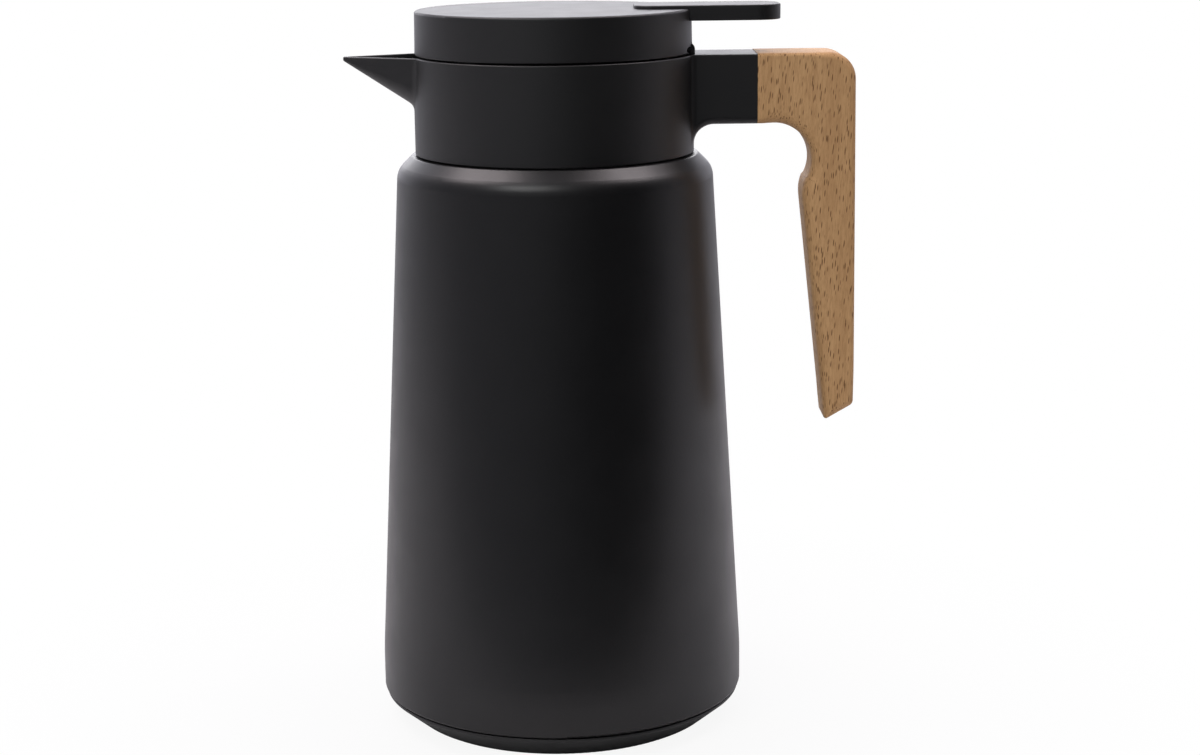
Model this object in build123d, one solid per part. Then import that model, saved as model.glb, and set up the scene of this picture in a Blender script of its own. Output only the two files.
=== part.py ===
from build123d import *
import math
import os

os.makedirs("parts", exist_ok=True)

# A vacuum-insulated serving carafe: a tapered double-walled flask, a screwed-on pouring collar with a
# beak spout and a handle arm, a beech grip, and a hinged lid with a thumb lever that tips it open.
# Millimetres, +Z up. The origin is on the table under the flask's axis; the spout points along -X and
# the handle along +X.

# Flask, outer shell
BASE_R = 75.1            # widest radius, the upright band above the foot
SHELL_BOTTOM = 11.3      # lower edge of the shell
BAND_TOP = 27.0          # where the upright band turns into the cone
SHOULDER_R = 63.9        # corner between the cone and the shoulder
SHOULDER_Z = 228.6
LEDGE_Z = 234.7          # flat ring on which the collar stands
LEDGE_R = SHOULDER_R - (LEDGE_Z - SHOULDER_Z)   # the shoulder slopes at 45 degrees
SHELL_WALL = 0.7
PLATE_Z = 15.4           # underside of the pan that closes the flask's bottom

# Flask, neck and liner
NECK_R = 41.0
FLANGE_R = 54.0          # the neck's flange is welded into the ledge at this radius
NECK_TOP = 251.8
LINER_WALL = 0.5
LINER_NECK_R = 39.2
LINER_BASE_R = 62.5
LINER_TOP_R = 52.0
LINER_BOTTOM = 24.0
LINER_SHOULDER_Z = 222.0

# Foot
CAP_LIP_R = 74.2
CAP_LIP_TOP = 10.8
CAP_LIP_BOTTOM = 9.8
CAP_FOOT_R = 63.3
CAP_FOOT_Z = 0.8
FOOT_RING_R = (56.0, 62.2)
FOOT_RING_TOP = 2.8

# Collar
COLLAR_R = 56.35
COLLAR_WALL = 3.0
COLLAR_BOTTOM = 235.5
COLLAR_TOP = 274.3
RIM_BORE_R = 51.5        # inward rim at the collar's mouth
RIM_UNDERSIDE = 271.5

# Spout: a beak whose sections are one U shape that shrinks towards its tip
BEAK_POINT_X = -86.9     # where the beak's faces would meet
BEAK_BLUNT = 2.5         # how far the blunt tip lies behind that point
BEAK_HALF_WIDTH = 14.5   # at the collar's front
BEAK_DEPTH = 19.5
BEAK_WALL_OFFSET = 3.9   # how far the trough's point lies behind the outer point
BEAK_BLEND = 4.0
BEAK_TIP_EDGE = 0.8      # rounding of the blunt tip
BEAK_RIM_EDGE = 0.5      # rounding of the beak's upper edges

# Handle arm and grip
ARM_HALF_WIDTH = 13.25
ARM_BOTTOM = 246.5
JOINT_X = 81.2           # face where the plastic arm meets the wood
ARM_UNDER_BLEND = 8.5
ARM_SIDE_BLEND = 3.0     # also runs out along the arm's two lower edges
SOCKET_START_X = 62.0
SOCKET_WALL = 3.3
TENON_GAP = 0.15
BOLT_Z = 260.2
BOLT_Y = 6.0
BOLT_R = 2.0

GRIP_TOP = 274.6         # the wood stands a hair proud of the arm
GRIP_BACK_X = 121.3      # outer face of the grip at its foot
GRIP_LEAN = 0.7          # how much nearer the axis it is at the top
GRIP_CORNER_R = 10.7
GRIP_TIP = (109.3, 123.5)
GRIP_HEEL_Z = 130.4
FINGER_CENTRE = (88.0, 231.3)
FINGER_R = 15.2          # hollow under the arm for the first finger
SWELL_R = 17.2           # palm swell below it
SWELL_CENTRE = (116.8, 217.5)
GRIP_OUTER_EDGE = 1.4    # along the top, the corner and the back
GRIP_INNER_EDGE = 3.2    # along the hollow, the swell and the inner slope
GRIP_END_EDGE = 1.2      # round the slanted end

# Pouring insert: the wet cup inside the collar, with the threaded skirt
INSERT_CUP_R = 50.9
INSERT_BORE_R = 35.5
INSERT_LAND_R = 39.5
INSERT_LAND_Z = 255.5
INSERT_FLOOR_Z = 258.4
INSERT_WEB = 2.4
SKIRT_R = (42.0, 44.4)
SKIRT_BOTTOM = 239.0

# Lid
LID_BOTTOM = 275.0
LID_TOP = 292.4
LID_R_TOP = 55.5
LID_R_BOTTOM = 55.76
LID_PLATE = 2.4
LID_WALL = 2.3
LID_EDGE = 1.0
BASE_DISC_BOTTOM = 275.6
BASE_DISC_TOP = 278.0
BOSS_R = 38.5
BOSS_BOTTOM = 258.5
PLUG_R = 31.0
PLUG_BOTTOM = 249.0
PLUG_WALL = 2.2
LID_SCREW_CIRCLE = 45.5
LID_SCREW_R = 1.25

# Thumb lever
LEVER_START_X = 32.4
LEVER_END_X = 91.0
LEVER_HALF_WIDTH = 13.25
LEVER_BOTTOM = 287.7
LEVER_TOP = 293.8
LEVER_INNER_CORNER = 7.0
LEVER_OUTER_CORNER = 10.0
LEVER_SCREW_X = (39.5, 49.0)
LEVER_SCREW_Y = 6.5

# Hinge between lid and collar
HINGE_X = 54.0
HINGE_Z = 276.4
BARREL_R = 2.4
KNUCKLE_HALF = 5.7
LUG_FROM = 6.0
LUG_TO = 9.6
PIN_R = 1.25
PIN_HALF = 8.6           # the pin ends inside the lugs
RUNNING_GAP = 0.05


def turned(*corners):
    """Solid of revolution about Z. A corner is (radius, height) or (radius, height, rounding)."""
    points = [(corner[0], corner[1]) for corner in corners]
    roundings = [corner[2] if len(corner) > 2 else 0 for corner in corners]
    outline = FilletPolyline(*points, radius=roundings, close=True)
    return revolve(Plane.XZ * make_face(outline), Axis.Z)


def block(x_span, y_span, z_span):
    """Box between two values along each axis."""
    size = [span[1] - span[0] for span in (x_span, y_span, z_span)]
    middle = [(span[1] + span[0]) / 2 for span in (x_span, y_span, z_span)]
    return Pos(*middle) * Box(*size)


def rod_along_x(radius, x_from, x_to, y, z):
    """Round bar parallel to X."""
    return Pos((x_from + x_to) / 2, y, z) * Rot(0, 90, 0) * Cylinder(radius, x_to - x_from)


def rod_along_y(radius, y_from, y_to, x=HINGE_X, z=HINGE_Z):
    """Round bar parallel to Y, on the hinge axis unless told otherwise."""
    return Pos(x, (y_from + y_to) / 2, z) * Rot(90, 0, 0) * Cylinder(radius, y_to - y_from)


def rod_along_z(radius, z_from, z_to, x, y):
    """Round bar parallel to Z."""
    return Pos(x, y, (z_from + z_to) / 2) * Cylinder(radius, z_to - z_from)


# ---------------------------------------------------------------- flask


def outer_shell():
    """Powder-coated steel skin: band, cone, shoulder and ledge, curled in under the band."""
    outside = turned(
        (0, SHELL_BOTTOM),
        (BASE_R, SHELL_BOTTOM, 1.4),
        (BASE_R, BAND_TOP, 120),
        (SHOULDER_R, SHOULDER_Z, 8),
        (LEDGE_R, LEDGE_Z, 0.8),
        (0, LEDGE_Z),
    )
    wall = SHELL_WALL
    inside = turned(
        (0, SHELL_BOTTOM + wall),
        (BASE_R - wall, SHELL_BOTTOM + wall, 0.7),
        (BASE_R - wall, BAND_TOP, 120),
        (SHOULDER_R - wall, SHOULDER_Z - wall / 2, 7.4),
        (LEDGE_R - wall / 2, LEDGE_Z - wall),
        (0, LEDGE_Z - wall),
    )
    bottom_hole = rod_along_z(70.0, 0, SHELL_BOTTOM + 1.5, 0, 0)
    flange_hole = rod_along_z(FLANGE_R, LEDGE_Z - 2, LEDGE_Z + 1, 0, 0)
    return outside - inside - bottom_hole - flange_hole


def neck_flange():
    """Flat steel ring welded into the shell's ledge, with the neck sleeve through its middle."""
    under = LEDGE_Z - SHELL_WALL
    return turned((NECK_R, under), (FLANGE_R, under), (FLANGE_R, LEDGE_Z), (NECK_R, LEDGE_Z))


def neck_sleeve():
    """Steel neck that stands in the flange; the collar screws down over it."""
    bore = NECK_R - SHELL_WALL
    rim = NECK_TOP - LINER_WALL
    return turned(
        (bore, LEDGE_Z - 2.5),
        (NECK_R, LEDGE_Z - 2.5),
        (NECK_R, rim),
        (bore, rim),
    )


def inner_liner():
    """Bare steel bottle inside the vacuum, with a flange that closes the gap at the mouth."""
    rim = NECK_TOP - LINER_WALL
    outside = turned(
        (0, LINER_BOTTOM),
        (LINER_BASE_R, LINER_BOTTOM, 12),
        (LINER_TOP_R, LINER_SHOULDER_Z, 9),
        (LINER_NECK_R, LINER_SHOULDER_Z + 8.0, 4),
        (LINER_NECK_R, rim),
        (NECK_R, rim),
        (NECK_R, NECK_TOP),
        (0, NECK_TOP),
    )
    wall = LINER_WALL
    inside = turned(
        (0, LINER_BOTTOM + wall),
        (LINER_BASE_R - wall, LINER_BOTTOM + wall, 11.5),
        (LINER_TOP_R - wall, LINER_SHOULDER_Z - wall / 2, 8.5),
        (LINER_NECK_R - wall, LINER_SHOULDER_Z + 8.0 - wall / 2, 4.5),
        (LINER_NECK_R - wall, NECK_TOP + 1),
        (0, NECK_TOP + 1),
    )
    return outside - inside


def bottom_plate():
    """Pressed steel pan that closes the vacuum space, welded on the shell's inward curl."""
    seat = SHELL_BOTTOM + SHELL_WALL
    top = PLATE_Z + SHELL_WALL
    pan = turned(
        (0, PLATE_Z),
        (66.5, PLATE_Z, 1.5),
        (69.9, seat),
        (72.5, seat),
        (72.5, seat + SHELL_WALL),
        (70.3, seat + SHELL_WALL),
        (67.0, top, 1.5),
        (0, top),
    )
    return pan - rod_along_z(1.0, PLATE_Z - 1, top + 1, 0, 0)


def vacuum_seal():
    """Bead that closes the evacuation hole."""
    return Pos(0, 0, PLATE_Z) * turned((0, -1.3), (2.6, -1.0, 0.8), (3.4, 0), (0, 0))


def getter():
    """Gas-absorbing pellet in its cup, on the vacuum side of the bottom plate."""
    seat = Pos(30, 0, PLATE_Z + SHELL_WALL)
    return seat * turned((0, 0), (8.0, 0), (8.0, 3.0, 0.8), (0, 3.0))


def base_cap():
    """Moulded cover under the flask: an upright lip, then a cone in to a smaller foot."""
    groove_in, groove_out = FOOT_RING_R
    return turned(
        (0, 3.0),
        (54.0, 3.0),
        (54.0, CAP_FOOT_Z, 0.4),
        (groove_in, CAP_FOOT_Z),
        (groove_in, FOOT_RING_TOP),
        (groove_out, FOOT_RING_TOP),
        (groove_out, CAP_FOOT_Z),
        (CAP_FOOT_R, CAP_FOOT_Z, 0.5),
        (CAP_LIP_R, CAP_LIP_BOTTOM, 0.4),
        (CAP_LIP_R - 0.2, CAP_LIP_TOP, 0.3),
        (65.0, CAP_LIP_TOP),
        (65.0, PLATE_Z),
        (62.6, PLATE_Z),
        (62.6, 5.2, 1.0),
        (0, 5.2),
    )


def foot_ring():
    """Soft ring in the base cap's groove; it is all that touches the table."""
    inner, outer = FOOT_RING_R
    return turned((inner, 0, 0.6), (outer, 0, 0.6), (outer, FOOT_RING_TOP), (inner, FOOT_RING_TOP))


# ---------------------------------------------------------------- collar


def beak_section(x, reach, half_width, depth):
    """Upright U-shaped slice of the beak at x, reach being its distance from the point."""
    scale = reach / (-COLLAR_R - BEAK_POINT_X)
    wide = half_width * scale
    deep = depth * scale
    outline = FilletPolyline(
        (-wide, 0),
        (-0.7 * wide, -deep),
        (0.7 * wide, -deep),
        (wide, 0),
        radius=[0, 9.5 * scale, 9.5 * scale, 0],
        close=True,
    )
    plane = Plane(origin=(x, 0, COLLAR_TOP), x_dir=(0, 1, 0), z_dir=(1, 0, 0))
    return plane * make_face(outline)


def beak(point_x, blunt, root_x):
    """Tapered horn from its blunt tip to the slice at root_x; its faces would meet at point_x."""
    end_x = point_x + blunt
    return loft(
        [
            beak_section(end_x, blunt, BEAK_HALF_WIDTH, BEAK_DEPTH),
            beak_section(root_x, root_x - point_x, BEAK_HALF_WIDTH, BEAK_DEPTH),
        ],
        ruled=True,
    )


def trough():
    """What is cut from the beak, the collar's wall and the insert to let the drink out."""
    return beak(BEAK_POINT_X + BEAK_WALL_OFFSET, 0.9, -44.0)


def hinge_lug(side):
    """Eye that stands on the collar's rim beside the lid's knuckle."""
    y_from, y_to = sorted((side * LUG_FROM, side * LUG_TO))
    eye = rod_along_y(BARREL_R, y_from, y_to)
    foot = block((HINGE_X - BARREL_R, HINGE_X + BARREL_R), (y_from, y_to), (COLLAR_TOP - 1.5, HINGE_Z))
    return eye + foot


def arm():
    """Rectangular bar from inside the round wall out to the joint with the grip."""
    return block((40, JOINT_X), (-ARM_HALF_WIDTH, ARM_HALF_WIDTH), (ARM_BOTTOM, COLLAR_TOP))


def wall_joint(solid, from_x, to_x):
    """Edges between two x values where a limb runs into the collar's round wall."""
    low, high = COLLAR_BOTTOM + 2, COLLAR_TOP - 0.5
    return [
        edge for edge in solid.edges()
        if from_x < edge.center().X < to_x and low < edge.center().Z < high
    ]


def beaked_wall():
    """Round wall with the beak blended into it."""
    post = turned(
        (0, COLLAR_BOTTOM),
        (COLLAR_R, COLLAR_BOTTOM),
        (COLLAR_R, COLLAR_TOP),
        (0, COLLAR_TOP),
    )
    seam_at_side = Rot(0, 0, 90) * post
    front = seam_at_side + beak(BEAK_POINT_X, BEAK_BLUNT, -40.0)
    joint = [e for e in wall_joint(front, -57, -53) if abs(e.center().Y) < BEAK_HALF_WIDTH]
    return fillet(joint, BEAK_BLEND)


def armed_wall():
    """The beaked wall with the arm: a wide blend under it, soft lower edges, crisp upper ones."""
    body = beaked_wall() + arm()
    under = [e for e in wall_joint(body, 53, 60) if e.geom_type != GeomType.LINE]
    body = fillet(under, ARM_UNDER_BLEND)
    return fillet(wall_joint(body, 53, 60), ARM_SIDE_BLEND)


def softened_beak(solid):
    """The solid with its beak's blunt tip and upper edges rounded."""
    tip_from = BEAK_POINT_X + BEAK_BLUNT + 0.05
    tip = [e for e in solid.edges() if e.center().X < tip_from and e.center().Z < COLLAR_TOP - 0.01]
    body = fillet(tip, BEAK_TIP_EDGE)
    rim = [
        edge for edge in body.edges()
        if abs(edge.center().Z - COLLAR_TOP) < 0.01 and edge.center().X < -COLLAR_R - 1
    ]
    return fillet(rim, BEAK_RIM_EDGE)


def collar():
    """One-piece moulding: round wall, beak spout, handle arm and hinge lugs."""
    body = armed_wall()
    body -= rod_along_z(COLLAR_R - COLLAR_WALL, COLLAR_BOTTOM - 1, RIM_UNDERSIDE, 0, 0)
    body -= rod_along_z(RIM_BORE_R, RIM_UNDERSIDE - 1, COLLAR_TOP + 1, 0, 0)
    body -= trough()
    body += hinge_lug(-1) + hinge_lug(1)
    body -= rod_along_y(BARREL_R + 0.4, -LUG_FROM, LUG_FROM)
    body -= rod_along_y(PIN_R + 0.02, -PIN_HALF, PIN_HALF)
    return softened_beak(body - arm_socket())


def arm_socket():
    """Pocket for the grip's tenon, and the counterbored holes of the two handle bolts."""
    half = ARM_HALF_WIDTH - SOCKET_WALL
    low, high = ARM_BOTTOM + SOCKET_WALL, COLLAR_TOP - SOCKET_WALL
    pocket = block((SOCKET_START_X, JOINT_X + 1), (-half, half), (low, high))
    for y in (-BOLT_Y, BOLT_Y):
        pocket += rod_along_x(BOLT_R + 0.2, 50, SOCKET_START_X + 1, y, BOLT_Z)
        pocket += rod_along_x(3.6, 50, 57.5, y, BOLT_Z)
    return pocket


def pouring_insert():
    """Cup that catches the coffee between the flask's mouth and the spout."""
    floor_under = INSERT_LAND_Z - INSERT_WEB
    outer_r = COLLAR_R - COLLAR_WALL
    cup = turned(
        (INSERT_BORE_R, floor_under),
        (INSERT_BORE_R, INSERT_LAND_Z, 0.6),
        (INSERT_LAND_R, INSERT_LAND_Z),
        (INSERT_CUP_R, INSERT_FLOOR_Z, 2.5),
        (INSERT_CUP_R, RIM_UNDERSIDE, 0.6),
        (outer_r, RIM_UNDERSIDE),
        (outer_r, INSERT_FLOOR_Z - INSERT_WEB),
        (SKIRT_R[1], floor_under),
    )
    return cup - front_gate()


def front_gate():
    """Gap in the insert's front wall, level with its floor, that leads into the trough."""
    above_floor = (INSERT_FLOOR_Z, RIM_UNDERSIDE + 1)
    widening = trough() & block((-60, -40), (-20, 20), above_floor)
    return widening + block((-60, -47.5), (-9.5, 9.5), above_floor)


def thread_ring():
    """Skirt under the insert that screws down over the neck sleeve."""
    inner, outer = SKIRT_R
    top = INSERT_LAND_Z - INSERT_WEB
    return turned((inner, SKIRT_BOTTOM), (outer, SKIRT_BOTTOM, 0.5), (outer, top), (inner, top))


def neck_gasket():
    """Silicone ring between the insert and the flask's rim."""
    top = INSERT_LAND_Z - INSERT_WEB
    return turned((36.6, NECK_TOP + 0.1), (41.1, NECK_TOP + 0.1), (41.1, top), (36.6, top))


def collar_seal():
    """Soft ring inside the collar's lower edge; it stands on the shell's ledge."""
    outer_r = COLLAR_R - COLLAR_WALL
    return turned((50.5, LEDGE_Z + 0.1), (outer_r, LEDGE_Z + 0.1), (outer_r, 238.0), (50.5, 238.0))


# ---------------------------------------------------------------- handle


def grip_outline():
    """Side view of the grip in (x, z): arm end, rounded corner, straight back, slanted end, swell, hollow."""
    finger, swell = Vector(*FINGER_CENTRE), Vector(*SWELL_CENTRE)
    meet = finger + (swell - finger) * (FINGER_R / (FINGER_R + SWELL_R))
    tip = Vector(*GRIP_TIP)
    reach = tip - swell
    turn = math.degrees(math.asin(SWELL_R / reach.length))
    heading = math.degrees(math.atan2(reach.Y, reach.X))
    touch = swell + Vector(SWELL_R, 0).rotate(Axis.Z, heading - 90 + turn)
    under = Vector(FINGER_CENTRE[0], FINGER_CENTRE[1] + FINGER_R)
    finger_mid = finger + Vector(FINGER_R, 0).rotate(Axis.Z, 35)
    swell_angle = (math.degrees(math.atan2(meet.Y - swell.Y, meet.X - swell.X)) % 360
                   + math.degrees(math.atan2(touch.Y - swell.Y, touch.X - swell.X)) % 360) / 2
    swell_mid = swell + Vector(SWELL_R, 0).rotate(Axis.Z, swell_angle)
    back = FilletPolyline(
        (JOINT_X, under.Y),
        (JOINT_X, GRIP_TOP),
        (GRIP_BACK_X - GRIP_LEAN, GRIP_TOP),
        (GRIP_BACK_X, GRIP_HEEL_Z),
        (tip.X, tip.Y),
        (touch.X, touch.Y),
        radius=[0, GRIP_CORNER_R, 0, 0],
    )
    return (
        back
        + ThreePointArc(touch, swell_mid, meet)
        + ThreePointArc(meet, finger_mid, under)
        + Line(under, (JOINT_X, under.Y))
    )


def side_edges(solid, part):
    """Edges round the grip's two flat sides in one part: "outer", "end" or "inner"."""
    found = {"outer": [], "end": [], "inner": []}
    inner_limit = GRIP_BACK_X - GRIP_CORNER_R / 2
    for edge in solid.edges():
        centre = edge.center()
        if abs(abs(centre.Y) - ARM_HALF_WIDTH) > 0.05 or centre.X < JOINT_X + 0.5:
            continue
        on_end = centre.Z < GRIP_HEEL_Z
        on_outside = centre.Z > GRIP_TOP - GRIP_CORNER_R / 2 or centre.X > inner_limit
        found["end" if on_end else "outer" if on_outside else "inner"].append(edge)
    return found[part]


def handle_grip():
    """Beech grip with a tenon that fills the arm's socket."""
    outline = Wire(grip_outline().edges())
    body = extrude(Plane.XZ * Face(outline), ARM_HALF_WIDTH, both=True)
    body = fillet(side_edges(body, "inner"), GRIP_INNER_EDGE)
    body = fillet(side_edges(body, "outer"), GRIP_OUTER_EDGE)
    body = fillet(side_edges(body, "end"), GRIP_END_EDGE)
    return body + tenon()


def tenon():
    """Block in the arm's socket, with the holes that the threaded inserts sit in."""
    half = ARM_HALF_WIDTH - SOCKET_WALL - TENON_GAP
    low, high = ARM_BOTTOM + SOCKET_WALL + TENON_GAP, COLLAR_TOP - SOCKET_WALL - TENON_GAP
    stub = block((SOCKET_START_X + 0.3, JOINT_X), (-half, half), (low, high))
    for y in (-BOLT_Y, BOLT_Y):
        stub -= rod_along_x(3.5, SOCKET_START_X, 75.0, y, BOLT_Z)
        stub -= rod_along_x(BOLT_R + 0.2, SOCKET_START_X, 79.0, y, BOLT_Z)
    return stub


def handle_inserts():
    """Two brass sleeves set in the tenon."""
    sleeves = []
    for y in (-BOLT_Y, BOLT_Y):
        sleeve = rod_along_x(3.5, SOCKET_START_X + 1.0, 75.0, y, BOLT_Z)
        sleeves.append(sleeve - rod_along_x(BOLT_R, SOCKET_START_X, 80.0, y, BOLT_Z))
    return Compound(sleeves)


def handle_bolts():
    """Two cap screws, put in from inside the collar before the insert covers their heads."""
    bolts = []
    for y in (-BOLT_Y, BOLT_Y):
        bolt = rod_along_x(3.4, 53.6, 57.5, y, BOLT_Z) + rod_along_x(BOLT_R, 57, 78.0, y, BOLT_Z)
        hexagon = extrude(RegularPolygon(1.7, 6), 2.0)
        bolts.append(bolt - Pos(53.6, y, BOLT_Z) * Rot(0, 90, 0) * hexagon)
    return Compound(bolts)


# ---------------------------------------------------------------- lid


def lever_plan(grow=0.0):
    """Plan of the thumb lever: soft corners on the lid, rounder ones at the thumb's end."""
    half = LEVER_HALF_WIDTH + grow
    start, end = LEVER_START_X - grow, LEVER_END_X + grow
    inner, outer = LEVER_INNER_CORNER + grow, LEVER_OUTER_CORNER + grow
    outline = FilletPolyline(
        (start, -half),
        (end, -half),
        (end, half),
        (start, half),
        radius=[inner, outer, outer, inner],
        close=True,
    )
    return make_face(outline)


def thumb_lever():
    """Flat paddle let into the lid's top; pressing its end down flips the lid."""
    plate = extrude(Pos(0, 0, LEVER_BOTTOM) * lever_plan(), LEVER_TOP - LEVER_BOTTOM)
    rims = plate.edges().group_by(Axis.Z)
    plate = fillet(rims[0] + rims[-1], 0.5)
    for x in LEVER_SCREW_X:
        for y in (-LEVER_SCREW_Y, LEVER_SCREW_Y):
            plate -= rod_along_z(1.2, LEVER_BOTTOM - 1, LEVER_BOTTOM + 4.0, x, y)
    return plate


def lid_screw_places():
    """Plan positions of the screws that hold the lid's base."""
    return [
        (LID_SCREW_CIRCLE * math.cos(math.radians(a)), LID_SCREW_CIRCLE * math.sin(math.radians(a)))
        for a in (45, 135, 225, 315)
    ]


def lid_cap():
    """Top of the lid: flat disc, skirt, lever seat, screw bosses and hinge knuckle."""
    under = LID_TOP - LID_PLATE
    cap = turned(
        (0, under),
        (LID_R_TOP - LID_WALL, under, 1.0),
        (LID_R_BOTTOM - LID_WALL, LID_BOTTOM),
        (LID_R_BOTTOM, LID_BOTTOM, 0.4),
        (LID_R_TOP, LID_TOP, LID_EDGE),
        (0, LID_TOP),
    )
    seat = extrude(Pos(0, 0, LEVER_BOTTOM - 2.0) * lever_plan(1.8), under - LEVER_BOTTOM + 2.2)
    cap += seat & rod_along_z(LID_R_TOP - 1.0, 270, LID_TOP, 0, 0)
    cap -= extrude(Pos(0, 0, LEVER_BOTTOM) * lever_plan(), 10)
    for x in LEVER_SCREW_X:
        for y in (-LEVER_SCREW_Y, LEVER_SCREW_Y):
            cap -= rod_along_z(1.4, LEVER_BOTTOM - 3, LEVER_BOTTOM + 1, x, y)
    for x, y in lid_screw_places():
        cap += rod_along_z(3.4, BASE_DISC_TOP, under + 0.2, x, y)
        cap -= rod_along_z(LID_SCREW_R, BASE_DISC_TOP - 1, 287.0, x, y)
    cap += rod_along_y(BARREL_R, -KNUCKLE_HALF, KNUCKLE_HALF)
    for side in (-1, 1):
        y_from, y_to = sorted((side * KNUCKLE_HALF, side * (LUG_TO + 0.4)))
        cap -= rod_along_y(BARREL_R + 0.5, y_from, y_to)
    return cap - rod_along_y(PIN_R + RUNNING_GAP, -20, 20)


def lid_base():
    """Underside of the lid: a disc, and the hollow boss and plug that hold the insulation."""
    wall = PLUG_WALL
    base = turned(
        (0, PLUG_BOTTOM),
        (PLUG_R - 0.6, PLUG_BOTTOM, 2.0),
        (PLUG_R, BOSS_BOTTOM),
        (BOSS_R, BOSS_BOTTOM, 0.8),
        (BOSS_R, BASE_DISC_BOTTOM, 1.0),
        (53.2, BASE_DISC_BOTTOM),
        (53.2, BASE_DISC_TOP),
        (BOSS_R - wall, BASE_DISC_TOP, 1.0),
        (BOSS_R - wall, BOSS_BOTTOM + wall),
        (PLUG_R - wall, BOSS_BOTTOM + wall),
        (PLUG_R - 0.6 - wall, PLUG_BOTTOM + wall),
        (0, PLUG_BOTTOM + wall),
    )
    base -= rod_along_y(BARREL_R + 0.6, -LUG_TO - 0.8, LUG_TO + 0.8)
    for x, y in lid_screw_places():
        base -= rod_along_z(LID_SCREW_R + 0.3, BASE_DISC_BOTTOM - 1, BASE_DISC_TOP + 1, x, y)
        base -= rod_along_z(2.9, BASE_DISC_BOTTOM - 1, BASE_DISC_BOTTOM + 1.0, x, y)
    return base


def stopper_gasket():
    """Silicone ring round the plug; it seals on the insert's land."""
    low = INSERT_LAND_Z + 0.1
    return turned(
        (PLUG_R, low),
        (38.2, low, 0.5),
        (38.2, BOSS_BOTTOM, 0.5),
        (PLUG_R, BOSS_BOTTOM),
    )


def lid_insulation():
    """Foam core inside the plug and boss."""
    wall = PLUG_WALL
    narrow, wide = PLUG_R - 0.6 - wall - 0.1, BOSS_R - wall - 0.1
    step = BOSS_BOTTOM + wall
    return turned(
        (0, PLUG_BOTTOM + wall),
        (narrow, PLUG_BOTTOM + wall),
        (narrow, step),
        (wide, step),
        (wide, 283.0),
        (0, 283.0),
    )


def lid_screws():
    """Four pan-head screws from under the lid's base into the cap's bosses."""
    screws = []
    for x, y in lid_screw_places():
        head = rod_along_z(2.7, BASE_DISC_BOTTOM, BASE_DISC_BOTTOM + 1.0, x, y)
        screws.append(head + rod_along_z(LID_SCREW_R, BASE_DISC_BOTTOM + 0.5, 286.5, x, y))
    return Compound(screws)


def lever_screws():
    """Four screws up through the lever's seat."""
    screws = []
    seat = LEVER_BOTTOM - 2.0
    for x in LEVER_SCREW_X:
        for y in (-LEVER_SCREW_Y, LEVER_SCREW_Y):
            head = rod_along_z(2.4, seat - 1.6, seat, x, y)
            screws.append(head + rod_along_z(1.2, seat - 0.5, LEVER_BOTTOM + 3.6, x, y))
    return Compound(screws)


def hinge_pin():
    """Steel pin through the lid's knuckle and into the collar's lugs."""
    return rod_along_y(PIN_R, -PIN_HALF, PIN_HALF)


NODES = {
    "outer_shell": outer_shell,
    "neck_flange": neck_flange,
    "neck_sleeve": neck_sleeve,
    "inner_liner": inner_liner,
    "bottom_plate": bottom_plate,
    "vacuum_seal": vacuum_seal,
    "getter": getter,
    "base_cap": base_cap,
    "foot_ring": foot_ring,
    "collar": collar,
    "pouring_insert": pouring_insert,
    "thread_ring": thread_ring,
    "neck_gasket": neck_gasket,
    "collar_seal": collar_seal,
    "handle_grip": handle_grip,
    "handle_inserts": handle_inserts,
    "handle_bolts": handle_bolts,
    "hinge_pin": hinge_pin,
    "lid_cap": lid_cap,
    "thumb_lever": thumb_lever,
    "lid_base": lid_base,
    "stopper_gasket": stopper_gasket,
    "lid_insulation": lid_insulation,
    "lid_screws": lid_screws,
    "lever_screws": lever_screws,
}

for name, make in NODES.items():
    export_step(make(), f"parts/{name}.step")
    print(name, "written")
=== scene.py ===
"""Looks of a vacuum-insulated serving carafe: black coated flask, black mouldings, beech grip."""

import logging
import math
from collections.abc import Callable
from dataclasses import dataclass, replace
from enum import Enum

import bmesh
import bpy
from mathutils import Matrix, Vector

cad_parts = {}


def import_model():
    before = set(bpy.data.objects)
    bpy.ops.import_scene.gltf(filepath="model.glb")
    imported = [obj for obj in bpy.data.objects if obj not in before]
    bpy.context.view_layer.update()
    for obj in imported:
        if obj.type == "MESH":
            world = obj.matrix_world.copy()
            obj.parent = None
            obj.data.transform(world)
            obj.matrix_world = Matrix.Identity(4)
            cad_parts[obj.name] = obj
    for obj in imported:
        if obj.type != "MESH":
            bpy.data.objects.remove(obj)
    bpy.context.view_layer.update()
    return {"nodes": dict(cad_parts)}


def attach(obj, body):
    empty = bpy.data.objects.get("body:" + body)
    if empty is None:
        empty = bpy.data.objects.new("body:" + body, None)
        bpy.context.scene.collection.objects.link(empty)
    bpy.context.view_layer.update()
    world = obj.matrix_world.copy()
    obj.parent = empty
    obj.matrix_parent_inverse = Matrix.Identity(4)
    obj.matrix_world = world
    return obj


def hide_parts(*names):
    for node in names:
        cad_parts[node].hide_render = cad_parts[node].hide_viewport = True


LOG = logging.getLogger("carafe")
MM = 0.001
NEAR = 0.01 * MM  # places closer than this are the same
SMOOTH_ANGLE = 30.0  # edges sharper than this, in degrees, stay crisp

Colour = tuple[float, float, float]
Triple = tuple[float, float, float]
Span = tuple[float, float]
Socket = bpy.types.NodeSocket

# Values of a noise over which a finish mottles its colour and swings its roughness.
MOTTLE: Span = (0.35, 0.70)
SWING: Span = (0.30, 0.70)


class Slot(Enum):
    """Material slots of the carafe."""

    SHELL = "shell_coating"
    STEEL = "bare_steel"
    MOULDING = "black_moulding"
    BEECH = "beech"
    SILICONE = "silicone"
    BRASS = "brass_insert"
    FOAM = "foam"


class Pick(Enum):
    """What an operator works on in edit mode."""

    POINTS = "VERT"
    FACES = "FACE"


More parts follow.
